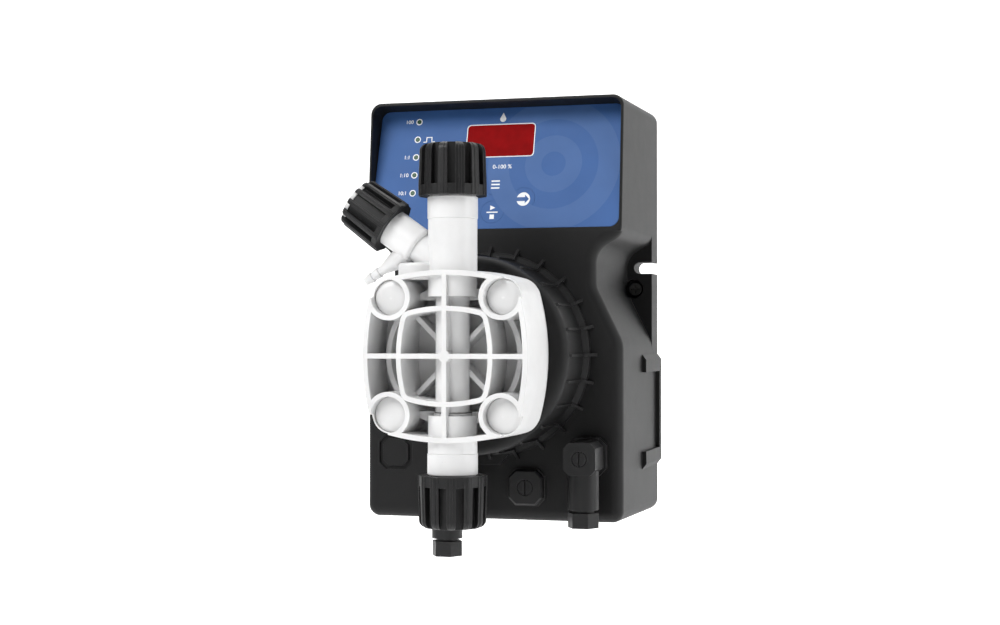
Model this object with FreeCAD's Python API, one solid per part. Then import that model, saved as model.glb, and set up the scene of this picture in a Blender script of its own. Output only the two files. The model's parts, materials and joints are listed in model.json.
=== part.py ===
"""Diaphragm metering pump: wall casing with an electromagnet, ribbed head, two ball valves and a vent valve.

Millimetres. The origin is the centre of the wall face. X is to the right of someone who faces the pump,
Z is up, and Y points into the wall, so a point's reach from the wall is minus its Y.
"""
import FreeCAD, Part
import math
import os
from FreeCAD import Vector

# Casing
casing_width = 126.2
casing_height = 201.0
casing_depth = 92.0
casing_wall = 3.0
casing_corner = 5.4
end_draft = 2.4
soft_edge = 5.0
crisp_edge = 1.0
back_round = 6.0
lean_from = 37.0
lean_setback = 5.4
lean_blend = 60.0

# Waist: recess in both sides of the casing, down to a flange at the wall
waist_depth = 12.9
waist_top = 34.3
waist_shoulder = 27.0
waist_knee = 9.8
waist_foot = -16.5
flange_thick = 15.4
notch_depth = 9.25
notch_width = 5.8
notch_z = 21.5
ear_inset = 9.5
ear_z = 10.9
ear_radius = 4.9
ear_wall = 1.8
ear_length = 11.0
ear_seat = 7.6
ear_screw_radius = 2.0
ear_head_radius = 3.6
ear_head_height = 2.6

# Side rails with their lugs
rail_proud = 2.1
rail_depth = 5.0
lug_depth = 42.0
lug_outer_z = -22.3
lug_inner_z = -31.2
lug_bevel = 2.7
rail_middle_z = -50.8

# Control panel
rim_edge_top = 0.9
rim_edge_low = 1.4
rim_deep_side = 1.9
rim_deep_top = 2.5
panel_bottom = 37.8
panel_tilt = 16.0
panel_step = 0.8
panel_corner = 4.5
overlay_thick = 0.6
panel_floor = 3.0
display_x = 0.9
display_drop = 19.1
display_size = (33.6, 15.8)
display_corner = 1.6
display_ledge = 1.5
led_inset = 21.6
led_drop = 8.3
led_pitch = 9.0
led_count = 5
led_radius = 1.1
key_radius = 5.6
key_gap = 0.3
key_sheet_gap = 0.08
key_travel = 0.35
key_stem_radius = 2.0
key_stem_end = 5.5
key_switch_radius = 3.2
key_switch_step = 0.8
key_drops = {"key_f": (0.2, 41.0), "key_start_stop": (-0.4, 54.6), "key_next": (14.6, 48.5)}

# Rear cover
cover_thick = 3.4
cover_lip = 1.5
cover_inset = 10.0
cover_corner = 3.0
gasket_thick = 0.6
seat_gap = 0.15
fit_gap = 0.02
cover_screw_side = 6.75
cover_screw_end = 6.5
cover_screw_radius = 1.75
cover_head_radius = 3.2
cover_head_height = 1.9
cover_head_recess = 0.1
cover_boss_radius = 4.2
cover_boss_end = 26.0

# Drum on the casing front, around the electromagnet
head_z = -22.0
drum_radius = 45.6
drum_length = 36.4
drum_edge = 5.0
bead_proud = 2.7
bead_height = 2.4
stub_proud = 5.8
rib_count = 24
rib_width = 1.3
rib_height = 1.0
spout_half_bottom = 4.6
spout_half_top = 9.0
spout_below = 6.6
spout_height = 2.2

# Electromagnet
yoke_gap = 2.6
yoke_wall = 3.5
yoke_plate = 6.0
yoke_length = 55.4
pole_length = 11.2
tube_wall = 1.6
bobbin_rim = 2.0
bobbin_gap = 0.5
bush_end_gap = 0.2
rear_plate_hole_inset = 7.6
rear_plate_hole = 2.0
coil_gap = 2.9
armature_radius = 14.0
stroke = 1.25
shaft_radius = 4.0
running_gap = 0.05
bush_radius = 6.5
spring_wire = 0.55
spring_radius = 6.6
spring_turns = 5
spring_pocket_radius = 8.2
spring_pocket_depth = 7.0
buffer_inset = 4.0
buffer_thick = 4.35

# Pump head
backplate_thick = 3.0
backplate_inset = 1.0
diaphragm_thick = 2.2
diaphragm_radius = 33.0
diaphragm_web = 1.2
core_radius = 11.7
core_clearance = 1.3
body_gap = 0.3
chamber_radius = 24.0
chamber_depth = 2.4
head_length = 32.2
head_floor = 8.4
head_half = 37.5
head_draft = 0.7
head_pitch = 25.6
head_corner = 8.4
head_wall = 2.3
web = 2.2
ring_half = 21.9
ring_pitch = 15.0
ring_corner = 5.0
low_web_reach = 14.0
hub_radius = 2.6
band_radius = 31.5
band_width = 2.4
boss_radius = 10.0
cap_radius = 7.75
cap_recess = 3.9
cap_edge = 3.0
cap_dome = 1.3
cap_gap = 0.15
head_bolt_radius = 2.5
head_bolt_head = 4.25
head_bolt_head_height = 5.0
head_bolt_key = 4.0
thread_end_gap = 0.2
washer_radius = 5.2
washer_thick = 1.0

# Valve tubes, both on one vertical axis in front of the casing
valve_setback = 12.8
port_radius = 10.85
cartridge_radius = 8.4
cartridge_depth = 17.6
cartridge_gap = 0.1
channel_radius = 3.0
inlet_radius = 2.6
core_tube_radius = 7.5
socket_above = 26.0
tube_above = 60.2
tube_below = 42.6
collar_radius = 11.1
collar_round = 0.45
discharge_collar = 9.8
suction_collar = 9.4
thread_radius = 10.2
thread_gap = 0.08
thread_length = 12.0
ball_radius = 4.76
ball_lift = 1.5
seat_bore = 3.2
seat_length = 4.0
chamber_bore = 6.5
guide_gap = 0.3
guide_bar = 1.4
ring_wire = 0.65

# Hose joints and their nuts
nut_length = 23.0
nut_radius = 14.6
nut_taper = 0.6
nut_skirt = 4.7
nut_end_round = 3.4
grip_ribs = 12
grip_groove = 3.5
grip_depth = 2.1
rib_proud = 0.4
bead_width = 1.2
bead_rise = 0.3
nut_hole = 6.5
cone_flange = 2.4
cone_base = 5.5
cone_tip = 3.3
cone_length = 8.6
cone_bore = 2.2
ferrule_length = 5.4
ferrule_gap = 0.5

# Vent valve, on a branch to the upper left of the discharge tube
vent_rise = 36.9
vent_angle = 144.5
vent_branch_radius = 6.6
vent_spigot_radius = 4.5
vent_spigot_length = 3.6
vent_body_start = 19.0
vent_body_radius = 8.4
vent_body_length = 18.4
vent_thread_radius = 7.2
vent_thread_length = 8.6
vent_channel = 1.4
needle_radius = 2.9
needle_gap = 0.08
needle_tip_radius = 0.9
needle_slope = 0.87
vent_seat_depth = 0.6
needle_head_radius = 4.4
needle_head_above = 2.0
needle_head_length = 2.4
knob_overlap = 3.2
knob_length = 21.2
knob_radius = 12.0
knob_taper = 0.9
knob_skirt = 2.6
knob_end_round = 2.0
knob_cap_radius = 9.6
knob_cap_thick = 2.0
knob_cap_proud = 0.5
barb_from = 20.15
barb_angle = 212.8
barb_root_radius = 4.4
barb_radius = 1.95
barb_crest = 2.4
barb_pitch = 3.9
barb_bore = 1.0
barb_length = 28.9
vent_boss_x = -15.2
vent_boss_radius = 9.5
vent_boss_rise = 41.0

# Electric connectors on the casing front
plug_inset = 15.5
plug_rise = 31.1
knockout_inset = 15.0
low_rise = 16.0
hidden_x = -18.0
blank_x = 17.6
socket_half = 8.9
socket_chamfer = 3.4
socket_thick = 4.0
socket_tail_radius = 5.9
blade_pitch = 4.2
blade_width = 2.4
blade_thick = 0.8
blade_length = 7.0
plug_half = 7.5
plug_chamfer = 2.6
plug_gasket_half = 7.6
plug_gasket_thick = 1.0
plug_length = 16.0
plug_wall = 1.6
plug_neck_radius = 7.2
plug_neck_inset = 0.2
plug_neck_drop = 23.6
plug_groove_radius = 5.2
plug_groove = 1.3
gland_nut_across = 12.6
gland_nut_height = 7.0
gland_bore = 3.6
gland_seal_wall = 0.6
gland_seal_length = 6.0
plug_screw_radius = 3.4
plug_screw_shank = 1.45
blank_gasket_thick = 0.8
blank_half = 8.3
blank_thick = 3.4
blank_edge = 0.8
knockout_outer = 8.3
knockout_inner = 6.4
knockout_depth = 1.2

# Electronics inside
board_thick = 1.6
board_gap = 6.0
board_side_gap = 8.0
board_low_gap = 2.35
board_high_gap = 6.35
board_hole_inset = 4.5
power_board_reach = 14.0
power_side_gap = 16.75
power_low_gap = 19.5
power_high_gap = 31.5
power_post_inset = 4.0
standoff_radius = 3.0
board_screw_radius = 1.4

# Values worked out from the sizes above
half_width = casing_width / 2
half_height = casing_height / 2
waist_half = half_width - waist_depth
notch_end = half_width - notch_depth
ear_x = half_width - ear_inset
display_centre = (display_x, half_height - display_drop)
key_places = {name: (x, half_height - drop) for name, (x, drop) in key_drops.items()}
cover_half_height = half_height - cover_inset
drum_front = casing_depth + drum_length
backplate_front = drum_front + backplate_thick
head_back = backplate_front + diaphragm_thick
head_front = head_back + head_length
floor_reach = head_back + head_floor
washer_seat = floor_reach + 4.0
cap_base = head_front - cap_recess - cap_edge
valve_reach = head_front - valve_setback
bead_radius = drum_radius + bead_proud
stub_radius = drum_radius + stub_proud
yoke_radius = drum_radius - casing_wall - yoke_gap
coil_radius = yoke_radius - yoke_wall - coil_gap
yoke_front = drum_front - casing_wall
yoke_back = yoke_front - yoke_length
pole_back = yoke_front - yoke_plate - pole_length
armature_front = pole_back - stroke - body_gap
armature_back = yoke_back + yoke_plate + buffer_thick + body_gap
tube_top = head_z + tube_above
tube_bottom = head_z - tube_below
vent_spigot_start = vent_body_start - vent_spigot_length
vent_body_end = vent_body_start + vent_body_length
vent_thread_end = vent_body_end + vent_thread_length
vent_seat_at = vent_body_start + vent_seat_depth
needle_head_at = vent_thread_end + needle_head_above
knob_start = vent_body_end - knob_overlap
knob_end = knob_start + knob_length
plug_place = (half_width - plug_inset, plug_rise - half_height)
knockout_place = (knockout_inset - half_width, plug_rise - half_height)
hidden_place = (hidden_x, low_rise - half_height)
blank_place = (blank_x, low_rise - half_height)
plug_neck_reach = casing_depth + socket_thick + plug_gasket_thick + plug_neck_inset + plug_neck_radius
board_low = panel_bottom + board_low_gap
board_high = half_height - board_high_gap
tilt_slope = math.tan(math.radians(panel_tilt))
cover_seat = cover_thick + gasket_thick
OUT = Vector(0, -1, 0)
UP = Vector(0, 0, 1)
DOWN = Vector(0, 0, -1)


# Drawing helpers

def rounded_wire(corners, place):
    """Closed wire through corners (u, v, radius), with each corner rounded by its radius."""
    ends = []
    edges = []
    count = len(corners)
    for index, (u, v, radius) in enumerate(corners):
        here = Vector(u, v, 0)
        before = Vector(corners[index - 1][0], corners[index - 1][1], 0) - here
        after = Vector(corners[(index + 1) % count][0], corners[(index + 1) % count][1], 0) - here
        before.normalize()
        after.normalize()
        if radius == 0:
            ends.append((here, here))
            continue
        half = before.getAngle(after) / 2
        start = here + before * (radius / math.tan(half))
        end = here + after * (radius / math.tan(half))
        inward = before + after
        inward.normalize()
        middle = here + inward * (radius / math.sin(half) - radius)
        edges.append((index, Part.Arc(place(start), place(middle), place(end)).toShape()))
        ends.append((start, end))
    arcs = dict(edges)
    pieces = []
    for index in range(count):
        if index in arcs:
            pieces.append(arcs[index])
        start = ends[index][1]
        end = ends[(index + 1) % count][0]
        if (end - start).Length > 1e-6:
            pieces.append(Part.LineSegment(place(start), place(end)).toShape())
    return Part.Wire(pieces)


def front_wire(corners, reach):
    """Outline in X and Z at a reach from the wall."""
    return rounded_wire(corners, lambda p: Vector(p.x, -reach, p.y))


def slab(wire, length):
    """Solid from an outline in X and Z, drawn out away from the wall."""
    return Part.Face(wire).extrude(OUT * length)


def front_slab(corners, reach_from, reach_to):
    return slab(front_wire(corners, reach_from), reach_to - reach_from)


def side_slab(corners, x_from, x_to):
    """Solid from a side outline (reach, z, radius), drawn out along X."""
    wire = rounded_wire(corners, lambda p: Vector(x_from, -p.x, p.y))
    return Part.Face(wire).extrude(Vector(x_to - x_from, 0, 0))


def rectangle(x, z, half_x, half_z, radius=0.0):
    return [(x - half_x, z - half_z, radius), (x + half_x, z - half_z, radius),
            (x + half_x, z + half_z, radius), (x - half_x, z + half_z, radius)]


def octagon(x, z, half, chamfer):
    """Square outline with cut corners."""
    short = half - chamfer
    points = [(-short, -half), (short, -half), (half, -short), (half, short),
              (short, half), (-short, half), (-half, short), (-half, -short)]
    return [(x + u, z + v, 0) for u, v in points]


def block(x_from, x_to, reach_from, reach_to, z_from, z_to):
    corner = Vector(x_from, -reach_to, z_from)
    return Part.makeBox(x_to - x_from, reach_to - reach_from, z_to - z_from, corner)


def turned(profile, base, axis):
    """Solid of revolution from corners (radius, height, rounding), heights measured from base along axis."""
    wire = rounded_wire(profile, lambda p: Vector(p.x, 0, p.y))
    solid = Part.Face(wire).revolve(Vector(0, 0, 0), UP, 360)
    solid.Placement = FreeCAD.Placement(base, FreeCAD.Rotation(UP, axis))
    return solid


def rod(base, axis, radius, start, end):
    return Part.makeCylinder(radius, end - start, base + axis * start, axis)


def forward_rod(x, z, radius, reach_from, reach_to):
    return rod(Vector(x, 0, z), OUT, radius, reach_from, reach_to)


def upright_rod(x, reach, radius, z_from, z_to):
    return rod(Vector(x, -reach, 0), UP, radius, z_from, z_to)


def tube(base, axis, outer, inner, start, end):
    return rod(base, axis, outer, start, end).cut(rod(base, axis, inner, start, end))


def hexagon_prism(base, axis, across, start, end):
    radius = across / math.sqrt(3)
    points = [Vector(radius * math.cos(math.radians(60 * k)), radius * math.sin(math.radians(60 * k)), start)
              for k in range(7)]
    solid = Part.Face(Part.makePolygon(points)).extrude(Vector(0, 0, end - start))
    solid.Placement = FreeCAD.Placement(base, FreeCAD.Rotation(UP, axis))
    return solid


def joined(first, others):
    return first.fuse(others).removeSplitter()


def mirrored_pair(solid):
    return [solid, solid.mirror(Vector(0, 0, 0), Vector(1, 0, 0))]


def write(name, shape):
    solids = shape.Solids
    print(name, len(solids), "solids", round(shape.Volume, 1), "valid", shape.isValid())
    result = solids[0] if len(solids) == 1 else Part.makeCompound(solids)
    result.exportStep("parts/" + name + ".step")


# Casing

def casing_outline(end=half_height):
    """Front outline with a waist in each side."""
    right = [(half_width, end, casing_corner), (half_width, waist_top, 7.0),
             (waist_half, waist_shoulder, 11.0), (waist_half, waist_knee, 10.0),
             (half_width, waist_foot, 15.0), (half_width, -end, casing_corner)]
    left = [(-x, z, radius) for x, z, radius in reversed(right)]
    return right + left


def casing_side():
    """Side outline of the casing: reach and height. The top and bottom open out towards the wall."""
    wall_end = half_height + end_draft
    front_end = wall_end - end_draft * (1 - lean_setback / casing_depth)
    return [(0, -wall_end, back_round), (casing_depth, -half_height, 0),
            (casing_depth, lean_from, lean_blend), (casing_depth - lean_setback, front_end, 0),
            (0, wall_end, back_round)]


def casing_end(direction):
    """Top or bottom end of the casing with its rounded corners, sloped by the draft."""
    wall_end = half_height + end_draft
    corners = [(half_width, half_height / 2, 0), (half_width, wall_end, casing_corner),
               (-half_width, wall_end, casing_corner), (-half_width, half_height / 2, 0)]
    wire = front_wire([(x, z * direction, radius) for x, z, radius in corners], 0)
    return Part.Face(wire).extrude(Vector(0, -casing_depth, -direction * end_draft))


def casing_envelope():
    """Casing without its waist."""
    middle = block(-half_width, half_width, 0, casing_depth, -half_height / 2, half_height / 2)
    whole = joined(middle, [casing_end(1), casing_end(-1)])
    return whole.common(side_slab(casing_side(), -half_width - 1, half_width + 1))


def front_edges(solid):
    """Edges between the front faces and the sides."""
    facing = []
    for face in solid.Faces:
        u0, u1, v0, v1 = face.ParameterRange
        if face.normalAt((u0 + u1) / 2, (v0 + v1) / 2).y < -0.9:
            facing.append(face)
    edges = [edge for face in facing for edge in face.Edges]
    return [edge for edge in edges if sum(1 for other in edges if other.isSame(edge)) == 1]


def casing_body(edge_round):
    outline = front_slab(casing_outline(2 * half_height), 0, casing_depth + 1)
    solid = outline.common(casing_envelope()).removeSplitter().Solids[0]
    return solid.makeFillet(edge_round, front_edges(solid))


def casing_block():
    """Outer form: soft front edges below the panel, crisp ones round it, and the flange at the wall."""
    split = waist_top + 1.5
    end = 2 * half_height
    below = block(-half_width - 1, half_width + 1, -1, casing_depth + 1, -end, split)
    above = block(-half_width - 1, half_width + 1, -1, casing_depth + 1, split, end)
    lower = casing_body(soft_edge).common(below)
    upper = casing_body(crisp_edge).common(above)
    flange = casing_envelope().common(block(-half_width - 1, half_width + 1, -1, flange_thick, -end, end))
    return lower.fuse([upper, flange])


def panel_reach(z, behind=0.0):
    """Reach of the tilted panel plane at a height, or of a plane that lies some way behind it."""
    level = casing_depth - panel_step - behind / math.cos(math.radians(panel_tilt))
    return level - (z - panel_bottom) * tilt_slope


def tilted_slab(behind_from, behind_to, z_from, z_to):
    """Layer parallel to the panel, between two depths behind its plane."""
    corners = [(z_from, behind_from), (z_to, behind_from), (z_to, behind_to), (z_from, behind_to)]
    return side_slab([(panel_reach(z, behind), z, 0) for z, behind in corners], -half_width, half_width)


def panel_outline(low, high, top, gap=0.0):
    """Outline a little wider at the foot: side margins at its foot and its top, and the top margin."""
    corner = panel_corner - gap
    foot = half_width - low - gap
    head = half_width - high - gap
    z_low = panel_bottom + gap
    z_high = half_height - top - gap
    return [(-foot, z_low, corner), (foot, z_low, corner), (head, z_high, corner), (-head, z_high, corner)]


def sheet_outline(gap):
    return panel_outline(rim_edge_low, rim_deep_side, rim_deep_top, gap)


def panel_pocket():
    """Pocket down to the tilted panel, with walls that open out to a thin rim at the front."""
    deep = front_wire(sheet_outline(0), panel_reach(half_height))
    rim = front_wire(panel_outline(rim_edge_low, rim_edge_top, rim_edge_top), casing_depth)
    sloped = Part.makeLoft([deep, rim], True, True)
    high = half_height + 1
    wedge = side_slab([(panel_reach(0), 0, 0), (panel_reach(high), high, 0), (casing_depth + 2, high, 0),
                       (casing_depth + 2, 0, 0)], -half_width, half_width)
    return sloped.common(wedge)


def casing_cavity():
    """Inner space, a wall's thickness inside the outer form and open at the wall face."""
    outline = front_wire(casing_outline(), 0).makeOffset2D(-casing_wall)
    top = half_height - casing_wall
    rear = back_round + casing_wall
    opening = cover_half_height - casing_wall / 2
    lean = panel_bottom - 2
    side = [(-1, -opening, 0), (rear, -opening, 0), (rear, -top, 0), (casing_depth - casing_wall, -top, 3.0),
            (casing_depth - casing_wall, lean, 0), (panel_reach(lean, panel_floor), lean, 0),
            (panel_reach(top, panel_floor), top, 0), (rear, top, 0), (rear, opening, 0), (-1, opening, 0)]
    space = Part.Face(outline).extrude(OUT * casing_depth)
    return space.common(side_slab(side, -half_width, half_width))


def drum_form():
    """Drum with its rounded front edge and the bead at its foot."""
    profile = [(0, casing_depth - 2, 0), (bead_radius, casing_depth - 2, 0),
               (bead_radius, casing_depth + bead_height - 0.9, 1.2),
               (drum_radius, casing_depth + bead_height + 1.4, 0),
               (drum_radius, drum_front, drum_edge), (0, drum_front, 0)]
    return turned(profile, Vector(0, 0, head_z), OUT)


def drum_ribs():
    """Thin ribs along the drum that run out as short stubs on the casing front."""
    low = casing_depth - 1
    crest = drum_radius + rib_height
    end = drum_front - drum_edge
    foot = casing_depth + bead_height + 1.9
    profile = [(drum_radius - 2, low), (stub_radius, low), (stub_radius, casing_depth + 0.6),
               (stub_radius - 1.5, casing_depth + 2.0), (bead_radius - 0.6, foot), (crest, foot + 0.8),
               (crest, end - 1.0), (drum_radius, end), (drum_radius - 2, end)]
    points = [Vector(radius, -rib_width / 2, reach) for radius, reach in profile]
    rib = Part.Face(Part.makePolygon(points + [points[0]])).extrude(Vector(0, rib_width, 0))
    rib.Placement = FreeCAD.Placement(Vector(0, 0, head_z), FreeCAD.Rotation(UP, OUT))
    ribs = []
    for index in range(rib_count):
        turned_rib = rib.copy()
        turned_rib.rotate(Vector(0, 0, head_z), OUT, 360.0 * index / rib_count)
        ribs.append(turned_rib)
    return ribs


def drain_spout():
    """Flat-bottomed boss under the drum."""
    bottom = head_z - drum_radius - spout_below
    top = head_z - drum_radius
    outline = [(-spout_half_bottom, bottom, 1.5), (spout_half_bottom, bottom, 1.5),
               (spout_half_top, bottom + 5.0, 2.0), (spout_half_top, top, 0), (-spout_half_top, top, 0),
               (-spout_half_top, bottom + 5.0, 2.0)]
    return front_slab(outline, casing_depth - 1, casing_depth + spout_height)


def side_lug(outer_z, inner_z, depth):
    """Bevelled lug that stands out of the right side."""
    bevel = lug_bevel if outer_z > inner_z else -lug_bevel
    outline = [(half_width - 2, outer_z, 0), (half_width, outer_z, 0),
               (half_width + rail_proud, outer_z - bevel, 0), (half_width + rail_proud, inner_z, 0),
               (half_width - 2, inner_z, 0)]
    return front_slab(outline, 0, depth)


def side_rails():
    low_outer = 2 * rail_middle_z - lug_outer_z
    low_inner = 2 * rail_middle_z - lug_inner_z
    upper = side_lug(lug_outer_z, lug_inner_z, lug_depth)
    lower = side_lug(low_outer, low_inner, lug_depth)
    rail = block(half_width - 2, half_width + rail_proud, 0, rail_depth, low_inner - 1, lug_inner_z + 1)
    side = upper.fuse([lower, rail])
    return mirrored_pair(side)


def side_notch(reach_to, extra=0.0):
    """Slot through the flange, open to the right side."""
    radius = notch_width / 2 + extra
    centre = notch_end + notch_width / 2
    slot = forward_rod(centre, notch_z, radius, -1, reach_to)
    return slot.fuse(block(centre, half_width + 5, -1, reach_to, notch_z - radius, notch_z + radius))


def side_ear():
    """Wall round a scoop in the waist, and the scoop with the sunk screw hole at its foot."""
    front = flange_thick + ear_length
    around = forward_rod(ear_x, ear_z, ear_radius + ear_wall, cover_seat, front + ear_wall)
    boss = around.common(front_slab(casing_outline(), 0, casing_depth))
    hole = forward_rod(ear_x, ear_z, ear_screw_radius + seat_gap, 0, front)
    sink = forward_rod(ear_x, ear_z, ear_radius, ear_seat, front)
    return boss, hole.fuse(sink)


def cover_screw_places():
    side = half_width - cover_screw_side
    end = cover_half_height - cover_screw_end
    return [(x, z) for x in (-side, side) for z in (-end, end)]


def cover_bosses():
    """Bosses inside the casing that take the rear cover's screws."""
    bosses = []
    for x, z in cover_screw_places():
        boss = forward_rod(x, z, cover_boss_radius, cover_thick, cover_boss_end)
        bosses.append(boss.cut(forward_rod(x, z, cover_screw_radius, 0, cover_boss_end - 4)))
    return bosses


def octagon_groove(place):
    x, z = place
    reach = casing_depth - knockout_depth
    outer = front_slab(octagon(x, z, knockout_outer, socket_chamfer), reach, casing_depth + 1)
    return outer.cut(front_slab(octagon(x, z, knockout_inner, plug_chamfer), reach - 1, casing_depth + 2))


def casing():
    ear, ear_hole = side_ear()
    body = casing_block().cut(panel_pocket())
    body = body.fuse([drum_form(), drain_spout()] + drum_ribs() + side_rails())
    cavity = casing_cavity()
    drum_bore = forward_rod(0, head_z, drum_radius - casing_wall, casing_depth - casing_wall - 1,
                            drum_front - casing_wall)
    cuts = [cavity, drum_bore, front_slab(rectangle(0, 0, half_width - cover_lip, cover_half_height,
                                                    cover_corner), -1, cover_seat)]
    cuts += mirrored_pair(side_notch(flange_thick + 1))
    cuts.append(forward_rod(0, head_z, core_radius + core_clearance, drum_front - 10, drum_front + 1))
    for x in (-head_pitch, head_pitch):
        for z in (head_z - head_pitch, head_z + head_pitch):
            cuts.append(forward_rod(x, z, head_bolt_radius + seat_gap, drum_front - 10, drum_front + 1))
    for x, z in (plug_place, hidden_place, blank_place):
        cuts.append(forward_rod(x, z, socket_tail_radius + seat_gap, casing_depth - 10, casing_depth + 1))
    cuts.append(octagon_groove(knockout_place))
    cuts += panel_openings()
    body = body.cut(cuts)
    body = joined(body, cover_bosses() + board_standoffs() + mirrored_pair(ear))
    return body.cut(mirrored_pair(ear_hole))


# Rear cover

def cover_outline():
    return rectangle(0, 0, half_width - cover_lip - seat_gap, cover_half_height - seat_gap,
                     cover_corner - seat_gap)


def rear_cover():
    plate = front_slab(cover_outline(), 0, cover_thick)
    cuts = mirrored_pair(side_notch(cover_seat + 1, body_gap))
    head_end = cover_head_height + cover_head_recess
    for x, z in cover_screw_places():
        cuts.append(forward_rod(x, z, cover_screw_radius + seat_gap, -1, cover_seat))
        cuts.append(forward_rod(x, z, cover_head_radius + seat_gap, -1, head_end))
    cuts += mirrored_pair(forward_rod(ear_x, ear_z, ear_screw_radius, 1.0, cover_seat))
    return joined(plate.cut(cuts), power_board_posts())


def rear_cover_gasket():
    """Flat seal between the cover and the ledge round the casing's opening."""
    outer = front_wire(casing_outline(), cover_thick).makeOffset2D(-cover_lip - seat_gap)
    inner = front_wire(casing_outline(), cover_thick).makeOffset2D(-casing_wall)
    ring = slab(outer, gasket_thick).common(front_slab(cover_outline(), 0, casing_depth))
    low = cover_half_height - casing_wall / 2
    opening = slab(inner, gasket_thick).common(block(-half_width, half_width, 0, casing_depth, -low, low))
    bosses = [forward_rod(x, z, cover_boss_radius + seat_gap, 0, casing_depth)
              for x, z in cover_screw_places()]
    return ring.cut([opening] + bosses)


def pan_screw(x, z, radius, head_radius, head_height, reach_head, reach_tip):
    """Cross-head screw. Its head ends at reach_head, on the side away from its tip."""
    direction = 1 if reach_tip > reach_head else -1
    axis = OUT * direction
    base = Vector(x, -reach_head, z)
    length = abs(reach_tip - reach_head)
    profile = [(0, 0, 0), (head_radius, 0, min(0.6, head_height / 3)), (head_radius, head_height, 0),
               (radius, head_height, 0), (radius, length - radius / 2, 0), (radius / 2, length, 0),
               (0, length, 0)]
    screw = turned(profile, base, axis)
    depth = head_height * 0.6
    long = head_radius * 1.2
    short = radius * 0.4
    recess = Part.makeBox(long, short, depth, Vector(-long / 2, -short / 2, 0))
    recess = recess.fuse(Part.makeBox(short, long, depth, Vector(-short / 2, -long / 2, 0)))
    recess.Placement = FreeCAD.Placement(base, FreeCAD.Rotation(UP, axis))
    return screw.cut(recess)


def rear_cover_screws():
    screws = []
    for x, z in cover_screw_places():
        screws.append(pan_screw(x, z, cover_screw_radius - fit_gap, cover_head_radius, cover_head_height,
                                cover_head_recess, cover_boss_end - 6))
    return Part.makeCompound(screws)


def ear_screws():
    screw = pan_screw(ear_x, ear_z, ear_screw_radius - fit_gap, ear_head_radius, ear_head_height,
                      ear_seat + ear_head_height, 1.2)
    return Part.makeCompound(mirrored_pair(screw))


# Control panel

def panel_rod(place, radius, behind_from, behind_to):
    """Cylinder square to the panel, between two depths behind its plane."""
    x, z = place
    inward = Vector(0, math.cos(math.radians(panel_tilt)), -math.sin(math.radians(panel_tilt)))
    return rod(Vector(x, -panel_reach(z), z), inward, radius, behind_from, behind_to)


def led_places():
    return [(led_inset - half_width, half_height - led_drop - index * led_pitch)
            for index in range(led_count)]


def display_outline(inset, corner=0.0):
    x, z = display_centre
    return rectangle(x, z, display_size[0] / 2 - inset, display_size[1] / 2 - inset, corner)


def panel_openings():
    """Holes in the panel floor for the display, the lamps and the keys."""
    cuts = [front_slab(display_outline(display_ledge), 0, casing_depth)]
    cuts += [panel_rod(place, led_radius + seat_gap, -1, panel_floor + 1) for place in led_places()]
    cuts += [panel_rod(place, key_radius + key_gap, -1, panel_floor + 1) for place in key_places.values()]
    return cuts


def panel_overlay():
    """Printed sheet in the panel's pocket, open at the display, the lamps and the keys."""
    layer = tilted_slab(-overlay_thick, 0, panel_bottom, half_height)
    sheet = front_slab(sheet_outline(seat_gap), 0, casing_depth + 1).common(layer)
    cuts = [front_slab(display_outline(0, display_corner), 0, casing_depth + 1)]
    cuts += [panel_rod(place, led_radius + seat_gap, -1, 1) for place in led_places()]
    cuts += [panel_rod(place, key_radius + key_sheet_gap, -1, 1) for place in key_places.values()]
    return sheet.cut(cuts)


def display_window():
    gap = seat_gap / 3
    pane = front_slab(display_outline(gap, display_corner - gap), 0, casing_depth + 1)
    return pane.common(tilted_slab(-overlay_thick, 0, panel_bottom, half_height))


def display_module():
    """Digit block between the control board and the window."""
    body = front_slab(display_outline(display_ledge + seat_gap), 0, casing_depth)
    return body.common(tilted_slab(body_gap, panel_floor + board_gap, panel_bottom, half_height))


def status_leds():
    lamps = [panel_rod(place, led_radius, -overlay_thick, panel_floor + board_gap) for place in led_places()]
    return Part.makeCompound(lamps)


def panel_key(place):
    """Key cap flush with the panel sheet, on a stem that ends above its switch."""
    cap = panel_rod(place, key_radius, -overlay_thick, panel_floor - body_gap)
    stem = panel_rod(place, key_stem_radius, panel_floor - 1, key_stem_end)
    return joined(cap, [stem])


def key_switches():
    """Switch on the board under each key, a little more than the key's travel away."""
    start = key_stem_end + key_travel + seat_gap
    bodies = []
    for place in key_places.values():
        base = panel_rod(place, key_switch_radius, start + key_switch_step, panel_floor + board_gap)
        button = panel_rod(place, key_stem_radius - 0.3, start, start + key_switch_step)
        bodies.append(joined(base, [button]))
    return Part.makeCompound(bodies)


def control_board():
    half = (board_high - board_low) / 2
    outline = rectangle(0, board_low + half, half_width - board_side_gap, half, 2.0)
    behind = panel_floor + board_gap
    layer = tilted_slab(behind, behind + board_thick, 0, half_height)
    sheet = front_slab(outline, 0, casing_depth).common(layer)
    return sheet.cut([panel_rod(place, board_screw_radius, behind - 1, behind + board_thick + 1)
                      for place in board_hole_places()])


def board_hole_places():
    side = half_width - board_side_gap - board_hole_inset
    low = board_low + board_hole_inset
    high = board_high - board_hole_inset
    return [(x, z) for x in (-side, side) for z in (low, high)]


def board_standoffs():
    """Pillars from the panel floor to the control board."""
    end = panel_floor + board_gap
    pillars = []
    for place in board_hole_places():
        pillar = panel_rod(place, standoff_radius, panel_floor - 0.5, end)
        pillars.append(pillar.cut(panel_rod(place, board_screw_radius, panel_floor + 0.5, end + 1)))
    return pillars


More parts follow.
